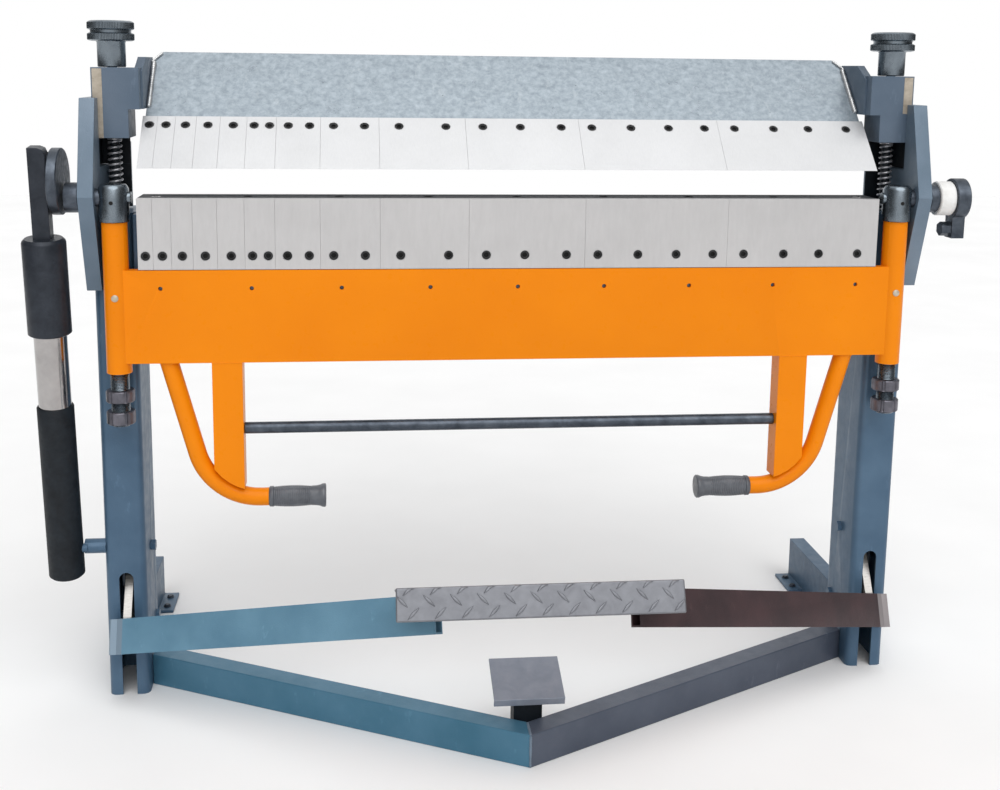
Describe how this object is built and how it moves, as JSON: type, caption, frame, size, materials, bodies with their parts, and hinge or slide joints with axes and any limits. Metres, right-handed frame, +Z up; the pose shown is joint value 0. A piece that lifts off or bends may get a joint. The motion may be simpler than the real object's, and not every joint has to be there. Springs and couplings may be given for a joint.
{
  "type": "sheet metal brake",
  "caption": "Free-standing manual folding machine: foot pedal clamps the sheet on the bed, an orange leaf with segmented tools swings up to bend it.",
  "frame": {"origin": "centre of the bounding box at floor level", "axes": "+X along the bed to the right, +Y from the operator to the back, +Z up"},
  "size_m": [1.6174, 0.856, 1.189],
  "materials": {
    "frame_paint": "semi-gloss blue-grey hammered paint",
    "orange_paint": "glossy orange paint",
    "grey_paint": "mottled blue-grey paint over steel",
    "brown_paint": "worn brown-grey paint",
    "ground_steel": "ground tool steel",
    "dark_steel": "oiled dark steel",
    "black_steel": "black finish with wear",
    "tread_steel": "grey tread plate",
    "spring_steel": "dark spring steel",
    "grip_rubber": "moulded ribbed rubber",
    "nylon": "white nylon",
    "chrome": "hard chrome"
  },
  "bodies": {
    "stand": {"column_left": "frame_paint", "column_right": "frame_paint", "side_plate_left": "frame_paint", "side_plate_right": "frame_paint", "floor_brace_left": "frame_paint", "floor_brace_right": "frame_paint", "rear_foot_left": "frame_paint", "rear_foot_right": "frame_paint", "return_spring_left": "spring_steel", "return_spring_right": "spring_steel", "bed_beam": "frame_paint", "bed_blade": "ground_steel", "release_post": "black_steel"},
    "clamp": {"clamping_beam": "grey_paint", "clamping_tool_narrow": "ground_steel", "clamping_tool_100": "ground_steel", "clamping_tool_150": "ground_steel", "clamping_tool_200": "ground_steel", "clamping_tool_250": "ground_steel", "clamping_tool_270": "ground_steel", "guide_block_left": "frame_paint", "guide_block_right": "frame_paint", "pull_rod_left": "dark_steel", "pull_rod_right": "dark_steel"},
    "knob_left": {"adjusting_knob_left": "dark_steel"},
    "knob_right": {"adjusting_knob_right": "dark_steel"},
    "pedal": {"pedal_arm_left": "frame_paint", "pedal_arm_right": "brown_paint", "pedal_tread": "tread_steel", "pedal_lever_left": "ground_steel", "pedal_lever_right": "ground_steel"},
    "link_left": {"connecting_link_left": "dark_steel"},
    "link_right": {"connecting_link_right": "dark_steel"},
    "swing": {"pivot_cap_left": "dark_steel", "pivot_cap_right": "dark_steel", "pivot_axle_left": "dark_steel", "pivot_axle_right": "dark_steel", "height_nut_left": "dark_steel", "height_nut_right": "dark_steel", "lock_nut_left": "dark_steel", "lock_nut_right": "dark_steel", "crank_disc": "dark_steel", "stop_ring": "nylon"},
    "leaf": {"bending_leaf": "orange_paint", "bending_tool_narrow": "ground_steel", "bending_tool_100": "ground_steel", "bending_tool_150": "ground_steel", "bending_tool_200": "ground_steel", "bending_tool_250": "ground_steel", "bending_tool_270": "ground_steel", "handle_left": "orange_paint", "handle_right": "orange_paint", "grip_left": "grip_rubber", "grip_right": "grip_rubber", "cross_rod": "dark_steel"},
    "stop": {"stop_collar": "dark_steel"},
    "strut_lower": {"strut_tube": "black_steel"},
    "strut_upper": {"strut_rod": "chrome", "strut_sleeve": "black_steel"},
    "release": {"release_pedal": "tread_steel"}
  },
  "joints": [
    {"name": "clamp_slide", "type": "slide", "parent": "stand", "child": "clamp", "axis": [0, 0, 1], "range_m": [-0.0476, 0], "stiffness_N_per_m": 12000, "springref_m": 0.16, "deforming": ["return_spring_left", "return_spring_right"]},
    {"name": "knob_left_turn", "type": "hinge", "parent": "clamp", "child": "knob_left", "pos_m": [-0.67025, 0.02795, 1.17], "axis": [0, 0, 1], "range_deg": [-180, 180]},
    {"name": "knob_right_turn", "type": "hinge", "parent": "clamp", "child": "knob_right", "pos_m": [0.69575, 0.02795, 1.17], "axis": [0, 0, 1], "range_deg": [-180, 180]},
    {"name": "pedal_press", "type": "hinge", "parent": "stand", "child": "pedal", "pos_m": [0.01275, 0.08595, 0.109], "axis": [1, 0, 0], "range_deg": [0, 29.09]},
    {"name": "link_left_swing", "type": "hinge", "parent": "clamp", "child": "link_left", "pos_m": [-0.67425, 0.02765, 0.3023], "axis": [-1, 0, 0], "range_deg": [0, 22.34]},
    {"name": "link_right_swing", "type": "hinge", "parent": "clamp", "child": "link_right", "pos_m": [0.69975, 0.02765, 0.3023], "axis": [-1, 0, 0], "range_deg": [0, 22.34]},
    {"name": "bend", "type": "hinge", "parent": "stand", "child": "swing", "pos_m": [0.01275, -0.05405, 0.9], "axis": [-1, 0, 0], "range_deg": [0, 135]},
    {"name": "leaf_height", "type": "slide", "parent": "swing", "child": "leaf", "axis": [0, 0, 1], "range_m": [-0.02, 0]},
    {"name": "stop_turn", "type": "hinge", "parent": "swing", "child": "stop", "pos_m": [0.79575, -0.05405, 0.9], "axis": [-1, 0, 0], "range_deg": [-90, 90]},
    {"name": "strut_swing", "type": "hinge", "parent": "stand", "child": "strut_lower", "pos_m": [-0.77325, -0.00805, 0.277], "axis": [-1, 0, 0], "range_deg": [0, 7.33]},
    {"name": "strut_slide", "type": "slide", "parent": "strut_lower", "child": "strut_upper", "axis": [0, -0.1015, 0.9948], "range_m": [-0.09404, 0]},
    {"name": "release_press", "type": "hinge", "parent": "stand", "child": "release", "pos_m": [0.01275, -0.22429, 0.0998], "axis": [1, 0, 0], "range_deg": [0, 12], "stiffness_Nm_per_rad": 60, "springref_deg": -5.73}
  ],
  "couplings": [
    {"joint": "pedal_press", "follows": "clamp_slide", "rad_per_m": -10.663},
    {"joint": "link_left_swing", "follows": "clamp_slide", "rad_per_m": -8.1887},
    {"joint": "link_right_swing", "follows": "clamp_slide", "rad_per_m": -8.1887},
    {"joint": "strut_swing", "follows": "bend", "ratio": 0.05422},
    {"joint": "strut_slide", "follows": "bend", "m_per_rad": -0.039868}
  ]
}
